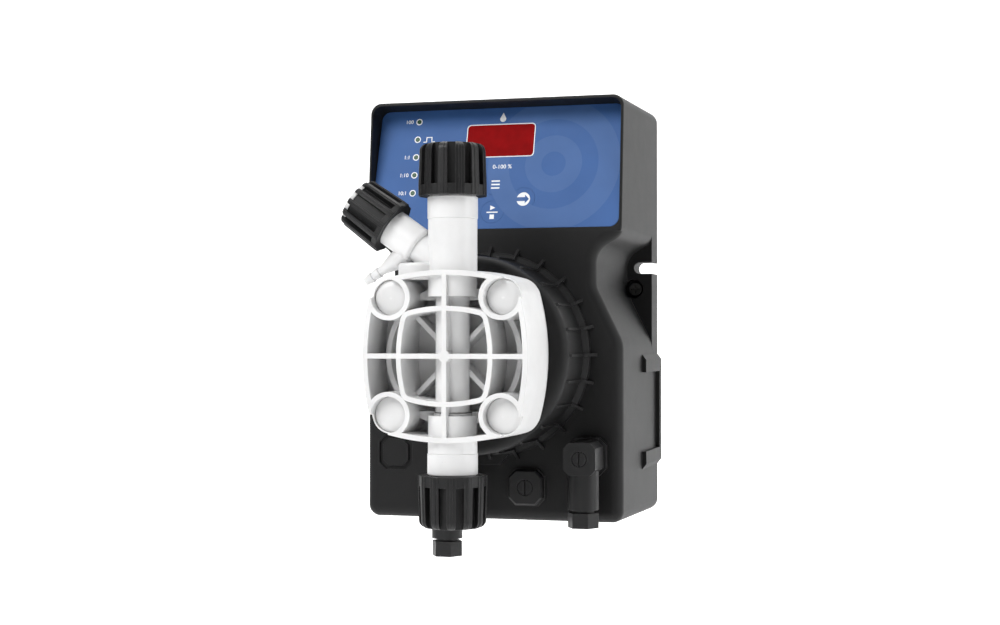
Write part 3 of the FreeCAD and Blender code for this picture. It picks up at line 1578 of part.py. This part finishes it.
def build():
    os.makedirs("parts", exist_ok=True)
    write("casing", casing())
    write("rear_cover", rear_cover())
    write("rear_cover_gasket", rear_cover_gasket())
    write("rear_cover_screws", rear_cover_screws())
    write("ear_screws", ear_screws())
    write("panel_overlay", panel_overlay())
    write("display_window", display_window())
    write("display_module", display_module())
    write("status_leds", status_leds())
    for name, place in key_places.items():
        write(name, panel_key(place))
    write("key_switches", key_switches())
    write("control_board", control_board())
    write("board_screws", board_screws())
    write("board_components", board_components())
    write("power_board", power_board())
    write("power_components", power_components())
    write("magnet_yoke", magnet_yoke())
    write("magnet_rear_plate", magnet_rear_plate())
    write("magnet_core", magnet_core())
    write("shaft_bush", shaft_bush())
    write("coil_bobbin", coil_bobbin())
    write("coil_winding", coil_winding())
    write("plunger", plunger())
    write("plunger_buffer", plunger_buffer())
    write("return_spring", return_spring())
    write("head_backplate", head_backplate())
    write("diaphragm", diaphragm())
    write("diaphragm_core", diaphragm_core())
    write("pump_head", pump_head())
    write("head_screws", head_screws())
    write("head_washers", head_washers())
    write("screw_caps", screw_caps())
    write("valve_rings", valve_rings())
    sides = (("discharge", UP, tube_top, discharge_collar, discharge_seat_z, 0.5),
             ("suction", DOWN, tube_bottom, suction_collar, suction_seat_z, 0))
    for name, axis, port_z, collar, seat_z, phase in sides:
        write(name + "_valve_body", valve_body(axis, port_z, collar, seat_z, seat_z + valve_space))
        write(name + "_seat", valve_seat(seat_z))
        write(name + "_ball", valve_ball(seat_z))
        write(name + "_ball_guide", valve_guide(seat_z))
        write(name + "_hose_cone", hose_cone(axis, port_z, collar))
        write(name + "_ferrule", hose_ferrule(axis, port_z, collar))
        write(name + "_nut", hose_nut(axis, port_z, collar, phase))
    write("vent_valve_body", vent_valve_body())
    write("vent_needle", vent_needle())
    write("vent_knob", vent_knob())
    write("knob_cap", knob_cap())
    write("connector_sockets", connectors(connector_socket))
    write("connector_seals", connectors(connector_gasket, [blank_gasket(), gland_seal(plug_place),
                                                           gland_seal(hidden_place)]))
    write("connector_housings", connectors(connector_housing))
    write("gland_nuts", connectors(gland_nut))
    write("connector_screws", connectors(connector_screw, [blank_screw()]))
    write("blank_plug", blank_plug())


build()
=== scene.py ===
import json
import math

import bmesh
import bpy
from mathutils import Matrix, Vector


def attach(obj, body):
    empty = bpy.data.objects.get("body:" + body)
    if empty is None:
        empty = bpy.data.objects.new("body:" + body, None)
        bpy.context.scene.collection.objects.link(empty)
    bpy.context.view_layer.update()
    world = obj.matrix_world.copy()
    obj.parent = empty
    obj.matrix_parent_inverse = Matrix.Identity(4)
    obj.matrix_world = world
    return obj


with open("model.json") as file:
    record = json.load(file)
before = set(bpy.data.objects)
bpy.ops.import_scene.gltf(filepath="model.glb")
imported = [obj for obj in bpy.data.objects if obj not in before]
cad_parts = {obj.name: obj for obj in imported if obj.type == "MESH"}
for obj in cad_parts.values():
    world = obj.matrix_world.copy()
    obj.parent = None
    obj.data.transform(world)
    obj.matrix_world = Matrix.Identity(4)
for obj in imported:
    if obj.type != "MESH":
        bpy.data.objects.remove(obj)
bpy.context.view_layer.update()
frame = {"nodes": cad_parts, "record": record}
nodes = frame["nodes"]


# Materials. Each one is entered under its name when its graph is made.

materials = {}


class Graph:
    """Node tree of a material with short calls for the nodes used below."""

    def __init__(self, name):
        self.material = bpy.data.materials.new(name)
        self.material.use_nodes = True
        self.tree = self.material.node_tree
        self.shader = self.tree.nodes["Principled BSDF"]
        self.place = self.add("ShaderNodeTexCoord").outputs["Object"]
        materials[name] = self.material

    def add(self, kind, **inputs):
        node = self.tree.nodes.new(kind)
        for key, value in inputs.items():
            self.give(node, key.replace("_", " "), value)
        return node

    def fill(self, socket, value):
        if isinstance(value, bpy.types.NodeSocket):
            self.tree.links.new(value, socket)
        else:
            socket.default_value = value

    def give(self, node, key, value):
        self.fill(node.inputs[key], value)

    def noise(self, size, detail=3.0, roughness=0.5):
        """Noise whose features are about size metres wide."""
        node = self.add("ShaderNodeTexNoise", Vector=self.place, Scale=1.0 / size, Detail=detail,
                        Roughness=roughness)
        return node.outputs["Fac"]

    def span(self, value, low, high, start=0.3, end=0.7):
        """Value from start to end, stretched to run from low to high."""
        node = self.add("ShaderNodeMapRange", Value=value, From_Min=start, From_Max=end, To_Min=low,
                        To_Max=high)
        return node.outputs["Result"]

    def sum(self, kind, *values):
        node = self.tree.nodes.new("ShaderNodeMath")
        node.operation = kind
        for socket, value in zip(node.inputs, values):
            self.fill(socket, value)
        return node.outputs[0]

    def vector(self, kind, *values):
        node = self.tree.nodes.new("ShaderNodeVectorMath")
        node.operation = kind
        for socket, value in zip(node.inputs, values):
            self.fill(socket, value)
        return node.outputs["Value"]

    def mix(self, factor, first, second):
        node = self.tree.nodes.new("ShaderNodeMix")
        node.data_type = "RGBA"
        self.give(node, 0, factor)
        sockets = [s for s in node.inputs if s.type == "RGBA"]
        for socket, value in zip(sockets, (first, second)):
            self.fill(socket, value)
        return [s for s in node.outputs if s.type == "RGBA"][0]


def tone(color, factor):
    return tuple(min(1.0, c * factor) for c in color[:3]) + (1.0,)


def grey(shade):
    return (shade, shade, shade)


def moulded(name, color, rough, grain=0.0005, depth=0.00002, spread=0.05, edge=0.0003, wear_and_highlight=0.0, soft=0.0,
            gloss=0.5):
    """Moulded plastic: fine grain, uneven gloss, softened edges that can be lighter, partly rubbed wear and
    partly a painted highlight.
    """
    g = Graph(name)
    shade = g.mix(g.span(g.noise(0.02, 4.0), 0.0, 1.0), tone(color, 0.94), tone(color, 1.05))
    rounding = g.add("ShaderNodeBevel", Radius=edge)
    rounding.samples = 6
    # Lighter grey on the edges: partly rubbed wear, partly a painted edge highlight.
    if wear_and_highlight:
        flat = g.add("ShaderNodeNewGeometry").outputs["Normal"]
        rub_and_highlight = g.span(g.vector("DOT_PRODUCT", rounding.outputs["Normal"], flat), 1.0, 0.0, 0.75, 0.99)
        rub_and_highlight = g.sum("MULTIPLY", rub_and_highlight, g.span(g.noise(0.004, 5.0, 0.7), 0.2, 1.0))
        shade = g.mix(g.sum("MULTIPLY", rub_and_highlight, wear_and_highlight), shade, (0.35, 0.35, 0.36, 1.0))
    g.give(g.shader, "Base Color", shade)
    patches = g.span(g.noise(0.009, 5.0, 0.6), -spread, spread)
    specks = g.span(g.noise(grain * 3, 2.0), -spread / 2, spread / 2)
    g.give(g.shader, "Roughness", g.sum("ADD", g.sum("ADD", patches, specks), rough))
    bump = g.add("ShaderNodeBump", Strength=1.0, Distance=depth, Height=g.noise(grain, 2.0, 0.6),
                 Normal=rounding.outputs["Normal"])
    g.give(g.shader, "Normal", bump.outputs["Normal"])
    g.give(g.shader, "Specular IOR Level", gloss)
    if soft:
        g.give(g.shader, "Subsurface Weight", soft)
        g.give(g.shader, "Subsurface Radius", (0.0012, 0.0011, 0.001))
        g.give(g.shader, "Subsurface Scale", 1.0)


def machined(name, color, rough, lines=0.0004):
    """Metal with fine turning marks and uneven gloss."""
    g = Graph(name)
    marks = g.noise(lines, 4.0, 0.7)
    shade = g.mix(g.span(g.noise(0.006, 3.0), 0.0, 1.0), tone(color, 0.88), tone(color, 1.06))
    g.give(g.shader, "Base Color", shade)
    g.give(g.shader, "Roughness", g.span(marks, rough - 0.08, rough + 0.1))
    edge = g.add("ShaderNodeBevel", Radius=0.0002)
    bump = g.add("ShaderNodeBump", Strength=0.5, Distance=0.00001, Height=marks,
                 Normal=edge.outputs["Normal"])
    g.give(g.shader, "Normal", bump.outputs["Normal"])
    g.give(g.shader, "Metallic", 1.0)


def circuit_board(name):
    """Green lacquer over copper tracks that cross in places."""
    across_pitch, along_pitch, track = 0.0016, 0.0019, 0.00035
    g = Graph(name)
    split = g.add("ShaderNodeSeparateXYZ", Vector=g.place)
    across = g.sum("PINGPONG", split.outputs["X"], across_pitch)
    along = g.sum("PINGPONG", split.outputs["Z"], along_pitch)
    tracks = g.sum("LESS_THAN", g.sum("MINIMUM", across, along), track)
    where = g.span(g.noise(0.012, 2.0), 0.0, 1.0, 0.45, 0.55)
    green = g.mix(g.sum("MULTIPLY", tracks, where), (0.01, 0.09, 0.035, 1), (0.03, 0.2, 0.08, 1))
    g.give(g.shader, "Base Color", green)
    g.give(g.shader, "Roughness", g.span(g.noise(0.0006), 0.28, 0.4))


def winding(name):
    """Layers of enamelled wire."""
    wire_radius = 0.00035
    g = Graph(name)
    split = g.add("ShaderNodeSeparateXYZ", Vector=g.place)
    height = g.sum("MULTIPLY", g.sum("PINGPONG", split.outputs["Y"], wire_radius), 1.0 / wire_radius)
    g.give(g.shader, "Base Color", g.mix(height, (0.25, 0.07, 0.02, 1), (0.75, 0.30, 0.12, 1)))
    g.give(g.shader, "Roughness", g.span(g.noise(0.003), 0.2, 0.34))
    bump = g.add("ShaderNodeBump", Strength=1.0, Distance=0.0003, Height=height)
    g.give(g.shader, "Normal", bump.outputs["Normal"])
    g.give(g.shader, "Metallic", 0.9)


def lens(name, color, rough, coat, gloss, glow=0.0):
    """Clear coloured plastic over something dark, with an optional faint painted glow."""
    g = Graph(name)
    shade = g.mix(g.span(g.noise(0.006, 2.0), 0, 1), tone(color, 0.86), tone(color, 1.1))
    g.give(g.shader, "Base Color", shade)
    g.give(g.shader, "Roughness", g.span(g.noise(0.002, 3.0), rough - 0.03, rough + 0.05))
    g.give(g.shader, "Coat Weight", coat)
    g.give(g.shader, "Coat Roughness", 0.06)
    g.give(g.shader, "Specular IOR Level", gloss)
    # The glow is painted light: emission on a window with nothing lit behind it.
    if glow:
        g.give(g.shader, "Emission Color", tone(color, 1.0))
        g.give(g.shader, "Emission Strength", glow)


def printed(name, color, edge, rough=0.52, gloss=0.5):
    """Smooth printed sheet."""
    moulded(name, color, rough, grain=0.0003, depth=0.000004, spread=0.03, edge=edge, gloss=gloss)


def white_plastic(name, shade, rough, depth, edge):
    moulded(name, grey(shade), rough, grain=0.0006, depth=depth, edge=edge, soft=0.12)


BLUE = (0.044, 0.115, 0.312)
PALE_BLUE = (0.062, 0.135, 0.330)

# Casing, nuts and connectors
# The edge amounts below lighten edges: partly rubbed wear, partly a painted edge highlight.
moulded("casing_black", (0.0074, 0.0074, 0.0077), 0.54, depth=0.00005, spread=0.012, edge=0.0005, wear_and_highlight=0.06,
        gloss=0.24)
moulded("cover_black", (0.011, 0.011, 0.0115), 0.54, depth=0.00003, spread=0.03, edge=0.0004, wear_and_highlight=0.06,
        gloss=0.26)
moulded("nut_black", (0.0078, 0.0078, 0.0082), 0.46, grain=0.0004, edge=0.0004, wear_and_highlight=0.08, gloss=0.36)
moulded("connector_black", (0.008, 0.008, 0.0085), 0.44, grain=0.0004, wear_and_highlight=0.08, gloss=0.35)
moulded("rubber_black", grey(0.014), 0.6, grain=0.0004, depth=0.00003)

# Panel
printed("panel_blue", BLUE, 0.0001, gloss=0.18)
printed("key_print", BLUE, 0.0001, gloss=0.18)
printed("print_white", (0.80, 0.82, 0.84), 0.00002, rough=0.5)
printed("print_pale", PALE_BLUE, 0.00002, gloss=0.18)
# The red display window gets a faint painted glow; it is not lit from inside.
lens("display_red", (0.24, 0.003, 0.004), 0.55, coat=0.0, gloss=0.03, glow=0.04)
lens("lamp_green", (0.030, 0.085, 0.040), 0.35, coat=0.1, gloss=0.2)
moulded("display_dark", grey(0.012), 0.5)

# Head and valves
white_plastic("head_white", 0.75, 0.36, 0.000012, 0.0004)
white_plastic("valve_white", 0.75, 0.34, 0.00001, 0.0003)
white_plastic("cap_white", 0.71, 0.34, 0.00001, 0.0003)
moulded("diaphragm_white", (0.74, 0.74, 0.71), 0.4)
moulded("ceramic", (0.82, 0.79, 0.72), 0.14, grain=0.0008, depth=0.000004)

# Metal and electric parts
machined("steel", (0.50, 0.50, 0.51), 0.34)
machined("screw_steel", (0.42, 0.41, 0.40), 0.36, lines=0.0002)
# Dark metal for the two ear screws, painted shade for their counterbores.
machined("screw_dark", (0.11, 0.108, 0.105), 0.45, lines=0.0002)
machined("bronze", (0.55, 0.36, 0.16), 0.42)
winding("copper")
moulded("bobbin_plastic", (0.50, 0.46, 0.38), 0.5)
circuit_board("board_green")
moulded("component_dark", (0.02, 0.02, 0.022), 0.5, grain=0.0006, depth=0.00004)
moulded("switch_black", grey(0.03), 0.45)

slot_of = {row["node"]: row["material_slot"] for row in frame["record"]["subparts"]}
for name, node in nodes.items():
    for slot in node.material_slots:
        slot.material = materials[slot_of[name]]

# The two screws in the side ears get a dark metal, painted shade that makes their counterbores read as dark
# recesses.
for slot in nodes["ear_screws"].material_slots:
    slot.material = materials["screw_dark"]


# Camera, at the photograph's place

def place_camera():
    data = bpy.data.cameras.new("camera")
    data.sensor_fit = "HORIZONTAL"
    data.sensor_width = 36.0
    data.lens = 58.42
    camera = bpy.data.objects.new("camera", data)
    camera.location = (0.2155, -0.8337, -0.0130)
    camera.rotation_euler = (math.radians(90.812), 0.0, math.radians(15.897))
    bpy.context.scene.collection.objects.link(camera)
    bpy.context.scene.camera = camera


# Floor, backdrop and light

FLOOR = -0.30


def sweep():
    """Pale floor that curves up into a wall far behind. Its far parts glow, so it stays white all round."""
    front, bend_start, bend_radius, half_width, wall_top = -6.0, 2.2, 1.2, 7.0, 5.0
    profile = [(front, FLOOR), (bend_start, FLOOR)]
    for degrees in range(10, 91, 10):
        turn = math.radians(degrees)
        rise = bend_radius * (1 - math.cos(turn))
        profile.append((bend_start + bend_radius * math.sin(turn), FLOOR + rise))
    profile.append((bend_start + bend_radius, wall_top))
    vertices = [(x, y, z) for y, z in profile for x in (-half_width, half_width)]
    faces = [(2 * i, 2 * i + 1, 2 * i + 3, 2 * i + 2) for i in range(len(profile) - 1)]
    mesh = bpy.data.meshes.new("floor")
    mesh.from_pydata(vertices, [], faces)
    for polygon in mesh.polygons:
        polygon.use_smooth = True
    floor = bpy.data.objects.new("floor", mesh)
    bpy.context.scene.collection.objects.link(floor)
    g = Graph("floor_white")
    g.give(g.shader, "Base Color", g.mix(g.noise(0.4, 2.0), (0.93, 0.93, 0.93, 1), (0.96, 0.96, 0.96, 1)))
    g.give(g.shader, "Roughness", 0.75)
    g.give(g.shader, "Emission Color", (1, 1, 1, 1))
    far = g.span(g.vector("LENGTH", g.place), 0.0, 1.0, 1.3, 2.6)
    height = g.add("ShaderNodeSeparateXYZ", Vector=g.place).outputs["Z"]
    level = g.span(height, 1.0, 0.0, FLOOR + 0.02, 0.1)
    glow = g.sum("MULTIPLY_ADD", g.sum("MULTIPLY", far, level), 0.80, 0.25)
    g.give(g.shader, "Emission Strength", glow)
    mesh.materials.append(g.material)


def surroundings():
    """The surroundings are seen white and give only a little light."""
    world = bpy.data.worlds.new("studio")
    bpy.context.scene.world = world
    world.use_nodes = True
    tree = world.node_tree
    background = tree.nodes["Background"]
    background.inputs["Color"].default_value = (1.0, 1.0, 1.0, 1.0)
    seen = tree.nodes.new("ShaderNodeLightPath")
    strength = tree.nodes.new("ShaderNodeMapRange")
    strength.inputs["To Min"].default_value = 0.03
    strength.inputs["To Max"].default_value = 1.05
    tree.links.new(seen.outputs["Is Camera Ray"], strength.inputs["Value"])
    tree.links.new(strength.outputs["Result"], background.inputs["Strength"])


def area_light(name, place, target, size, power):
    data = bpy.data.lights.new(name, "AREA")
    data.shape = "RECTANGLE"
    data.size, data.size_y = size
    data.energy = power
    light = bpy.data.objects.new(name, data)
    light.location = place
    light.rotation_euler = (Vector(target) - Vector(place)).to_track_quat("-Z", "Y").to_euler()
    bpy.context.scene.collection.objects.link(light)


place_camera()
surroundings()
sweep()
area_light("key", (-0.55, -1.15, 0.95), (0.0, -0.12, 0.0), (0.9, 0.9), 20.5)
area_light("right", (1.1, -0.15, 0.35), (0.05, -0.06, 0.0), (0.5, 1.0), 5.2)
area_light("top", (0.1, -0.2, 1.2), (0.0, -0.1, 0.0), (0.8, 0.8), 4)
area_light("backdrop", (0.0, 1.0, 2.4), (0.0, 3.0, 0.2), (3.0, 1.5), 110)
bpy.context.scene.view_settings.view_transform = "Standard"


# The panel's print. Its plane leans back, so places on it are given as (x, z) in the front view, in
# millimetres. PANEL_LOW and PANEL_REACH are the height and reach of the floor of the pocket at its low edge.

TILT = math.radians(16.0)
PANEL_LOW = 0.0378
PANEL_REACH = 0.0912
SHEET_THICK = 0.0006
SHEET_FRONT = PANEL_REACH + SHEET_THICK / math.cos(TILT)
PRINT_LIFT = 0.00003
TEXT_LIFT = 0.00004
RIPPLE_LIFT = 0.000015


def on_panel(x, z, lift):
    """Point on the panel sheet, a little above it. Millimetres in, metres out."""
    x, z = x / 1000, z / 1000
    reach = SHEET_FRONT - (z - PANEL_LOW) * math.tan(TILT)
    return Vector((x, -reach - lift * math.cos(TILT), z + lift * math.sin(TILT)))


def add_piece(name, mesh, material, body="housing"):
    piece = bpy.data.objects.new(name, mesh)
    bpy.context.scene.collection.objects.link(piece)
    mesh.materials.append(materials[material])
    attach(piece, body)


def print_mesh(name, loops, lift=PRINT_LIFT):
    """Flat print from loops of (x, z) points. A loop is one outline, or a list of outlines with holes."""
    mesh = bpy.data.meshes.new(name)
    build = bmesh.new()
    for loop in loops:
        outlines = loop if isinstance(loop[0][0], (list, tuple)) else [loop]
        edges = []
        for outline in outlines:
            points = [build.verts.new(on_panel(x, z, lift)) for x, z in outline]
            for point, following in zip(points, points[1:] + points[:1]):
                edges.append(build.edges.new((point, following)))
        bmesh.ops.triangle_fill(build, edges=edges, use_beauty=True, use_dissolve=False,
                                normal=Vector((0, -math.cos(TILT), math.sin(TILT))))
    for face in build.faces:
        face.normal_update()
        if face.normal.y > 0:
            face.normal_flip()
    build.to_mesh(mesh)
    build.free()
    return mesh


def arc(x, z, radius, start, end, steps=24):
    turns = [math.radians(start + (end - start) * i / steps) for i in range(steps + 1)]
    return [(x + radius * math.cos(turn), z + radius * math.sin(turn)) for turn in turns]


def disc(x, z, radius, steps=40):
    return arc(x, z, radius, 0, 360, steps)[:-1]


def rounded(x, z, half_x, half_z, radius):
    """Rectangle with round corners."""
    points = []
    for corner, (u, v) in enumerate(((1, 1), (-1, 1), (-1, -1), (1, -1))):
        start = 90 * corner
        points += arc(x + u * (half_x - radius), z + v * (half_z - radius), radius, start, start + 90, 8)
    return points


def bar(x0, z0, x1, z1, width):
    """Straight stroke with square ends."""
    along = Vector((x1 - x0, z1 - z0)).normalized()
    side = Vector((-along.y, along.x)) * width / 2
    return [(x0 + side.x, z0 + side.y), (x0 - side.x, z0 - side.y), (x1 - side.x, z1 - side.y),
            (x1 + side.x, z1 + side.y)]


def panel_text(name, body, x, z, size):
    """Plain figures printed on the panel, set to the left of a place."""
    curve = bpy.data.curves.new(name + "_text", "FONT")
    curve.body = body
    curve.size = size / 1000
    curve.offset = 0.00003
    curve.align_x = "RIGHT"
    curve.align_y = "CENTER"
    text = bpy.data.objects.new(name + "_text", curve)
    bpy.context.scene.collection.objects.link(text)
    bpy.context.view_layer.update()
    mesh = bpy.data.meshes.new_from_object(text.evaluated_get(bpy.context.evaluated_depsgraph_get()))
    bpy.data.objects.remove(text)
    upright = Matrix.Rotation(math.radians(90) - TILT, 4, "X")
    mesh.transform(Matrix.Translation(on_panel(x, z, TEXT_LIFT)) @ upright)
    mesh.name = name
    add_piece(name, mesh, "print_white")


def clip(build, axis, value, side):
    """Cut a print at x or z = value. Side 1 drops what lies above, -1 what lies below, 0 only splits."""
    normal = Vector((1, 0, 0)) if axis == "x" else Vector((0, 0, 1))
    bmesh.ops.bisect_plane(build, geom=build.verts[:] + build.edges[:] + build.faces[:], dist=1e-7,
                           plane_co=normal * (value / 1000), plane_no=normal, clear_outer=side > 0,
                           clear_inner=side < 0)


def clear_window(build, x, z, half_x, half_z):
    """Take a rectangle out of a print."""
    for side in (-1, 1):
        clip(build, "x", x + side * half_x, 0)
        clip(build, "z", z + side * half_z, 0)
    covered = []
    for face in build.faces:
        middle = face.calc_center_median() * 1000
        if abs(middle.x - x) < half_x and abs(middle.z - z) < half_z:
            covered.append(face)
    bmesh.ops.delete(build, geom=covered, context="FACES")


LAMP_COLUMN = -41.5
LAMPS = [(LAMP_COLUMN, 92.2 - 9.0 * i) for i in range(5)]
DISPLAY = (0.9, 81.4, 16.8, 7.9)
STROKE = 0.45


def pulse_sign(x, z):
    """One square pulse with a foot on each side."""
    half_pulse, half_sign, half_rise = 1.1, 2.9, 1.15
    strokes = [bar(x - half_sign, z - half_rise, x - half_pulse, z - half_rise, STROKE),
               bar(x + half_pulse, z - half_rise, x + half_sign, z - half_rise, STROKE)]
    for side in (-1, 1):
        upright = x + side * (half_pulse + 0.22)
        strokes.append(bar(upright, z - half_rise - 0.22, upright, z + half_rise + 0.22, STROKE))
    strokes.append(bar(x - half_pulse, z + half_rise, x + half_pulse, z + half_rise, STROKE))
    return strokes


def panel_print():
    """Display frame, lamp rims, pulse sign beside the second lamp and a drop above the display."""
    x, z, half_x, half_z = DISPLAY
    prints = [[rounded(x, z, half_x + STROKE, half_z + STROKE, 1.9),
               rounded(x, z, half_x + 0.02, half_z + 0.02, 1.6)]]
    prints += [[disc(x, z, 1.62), disc(x, z, 1.15)] for x, z in LAMPS]
    prints += pulse_sign(LAMP_COLUMN + 6.0, LAMPS[1][1] - 0.2)
    drop_x, drop_z, drop_radius = 1.4, 92.2, 1.5
    prints.append(arc(drop_x, drop_z, drop_radius, -215, 35, 28) + [(drop_x, drop_z + 3.2)])
    add_piece("panel_print", print_mesh("panel_print", prints), "print_white")


def panel_ripples():
    """Two rings on the right, paler than the sheet, clear of the display and of the sheet's edges."""
    centre_x, centre_z = 28.2, 69.0
    sheet_right, sheet_top, sheet_low, margin = 60.6, 97.5, 38.3, 0.2
    rings = [[disc(centre_x, centre_z, 32.6, 120), disc(centre_x, centre_z, 22.0, 100)],
             [disc(centre_x, centre_z, 14.0, 80), disc(centre_x, centre_z, 6.0, 48)]]
    mesh = print_mesh("panel_ripples", rings, RIPPLE_LIFT)
    build = bmesh.new()
    build.from_mesh(mesh)
    clip(build, "x", sheet_right, 1)
    clip(build, "z", sheet_top, 1)
    clip(build, "z", sheet_low, -1)
    x, z, half_x, half_z = DISPLAY
    clear_window(build, x, z, half_x + margin, half_z + margin)
    build.to_mesh(mesh)
    build.free()
    add_piece("panel_ripples", mesh, "print_pale")


def panel_figures():
    """Plain figures for the modes and the range."""
    for index, body in ((0, "100"), (2, "1:1"), (3, "1:10"), (4, "10:1")):
        x, z = LAMPS[index]
        panel_text("mode_figure_" + str(index + 1), body, x - 3.0, z, 2.7)
    panel_text("range_figures", "0-100 %", 7.6, 68.2, 2.9)


def key_sign(name, body, loops):
    add_piece(name, print_mesh(name, loops), "print_white", body)


def menu_sign(x, z):
    """Three bars, one above another."""
    return [bar(x - 2.1, z + rise, x + 2.1, z + rise, 0.7) for rise in (-1.7, 0.0, 1.7)]


def next_sign(x, z):
    """White disc with an open arrow to the right in it."""
    shaft, head = 0.96, 2.1
    rim = arc(x, z, 3.3, -163, 163, 44)
    return [rim + [(x + 0.8, z + shaft), (x + 0.8, z + head), (x + 2.8, z), (x + 0.8, z - head),
                   (x + 0.8, z - shaft)]]


def run_sign(x, z):
    """Triangle over a bar over a square."""
    triangle = [(x - 1.1, z + 1.0), (x + 1.4, z + 2.2), (x - 1.1, z + 3.4)]
    square = [(x - 1.1, z - 3.3), (x + 1.1, z - 3.3), (x + 1.1, z - 1.1), (x - 1.1, z - 1.1)]
    return [triangle, bar(x - 2.75, z, x + 2.75, z, 0.6), square]


panel_print()
panel_ripples()
panel_figures()
key_sign("key_menu_sign", "key_f_body", menu_sign(0.2, 59.5))
key_sign("key_next_sign", "key_next_body", next_sign(14.6, 52.0))
key_sign("key_run_sign", "key_start_stop_body", run_sign(-0.4, 45.9))
